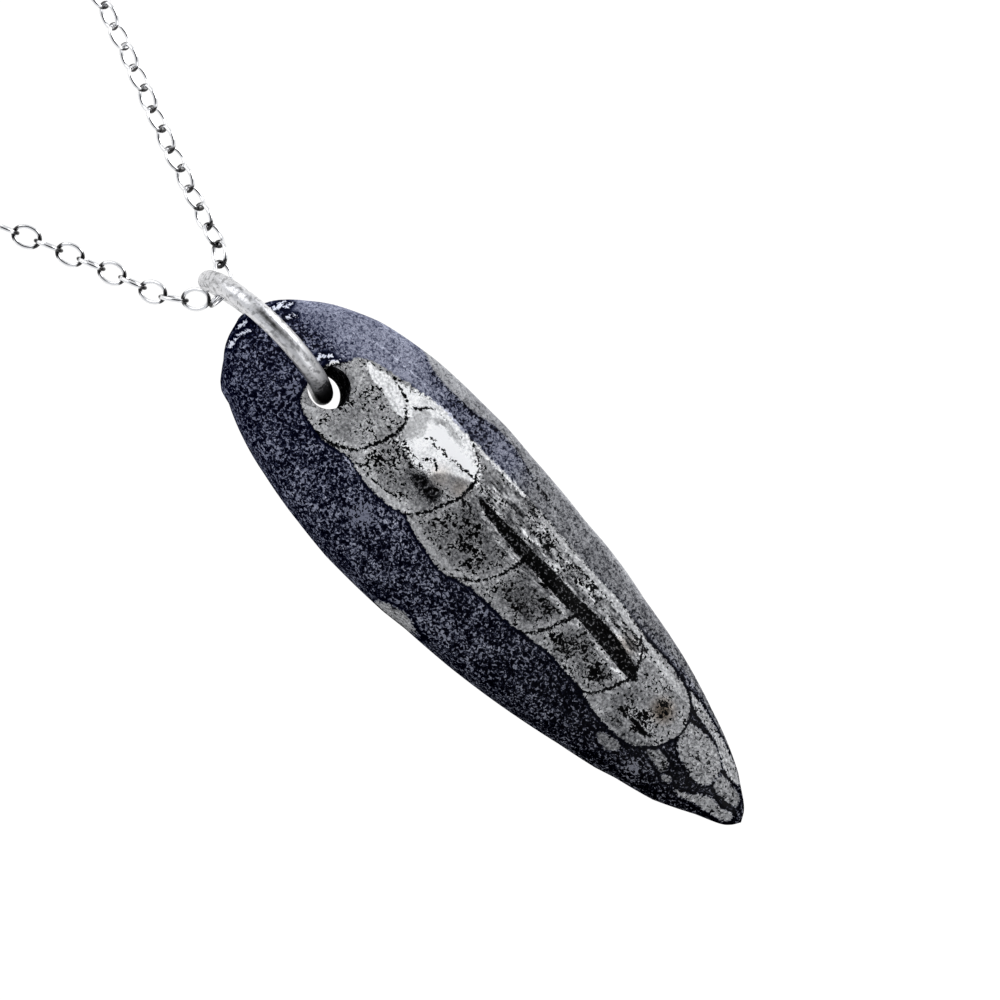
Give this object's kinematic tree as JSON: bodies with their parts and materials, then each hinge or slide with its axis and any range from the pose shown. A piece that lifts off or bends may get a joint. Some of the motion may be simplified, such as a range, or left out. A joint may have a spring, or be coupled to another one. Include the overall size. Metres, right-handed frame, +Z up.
{
  "type": "orthoceras fossil pendant",
  "caption": "Long teardrop pendant of polished black limestone with a fossil orthoceras shell, on a steel jump ring and a fine silver cable chain.",
  "frame": {"origin": "centre of the bottom of the box round the stone and its jump ring, on the surface that they lie on", "axes": "+X along the stone to its tip, +Z up out of the polished front"},
  "size_m": [0.1036, 0.0308, 0.0125],
  "materials": {
    "limestone": "polished",
    "steel": "brushed",
    "silver": "polished"
  },
  "bodies": {
    "root": {"stone": "limestone", "jump_ring": "steel", "threaded_link": "silver", "chain_right": "silver", "chain_coil": "silver", "chain_tail": "silver", "chain_left": "silver", "clasp_body": "silver", "clasp_bolt": "silver", "clasp_ring": "silver", "end_ring": "silver"}
  },
  "joints": []
}
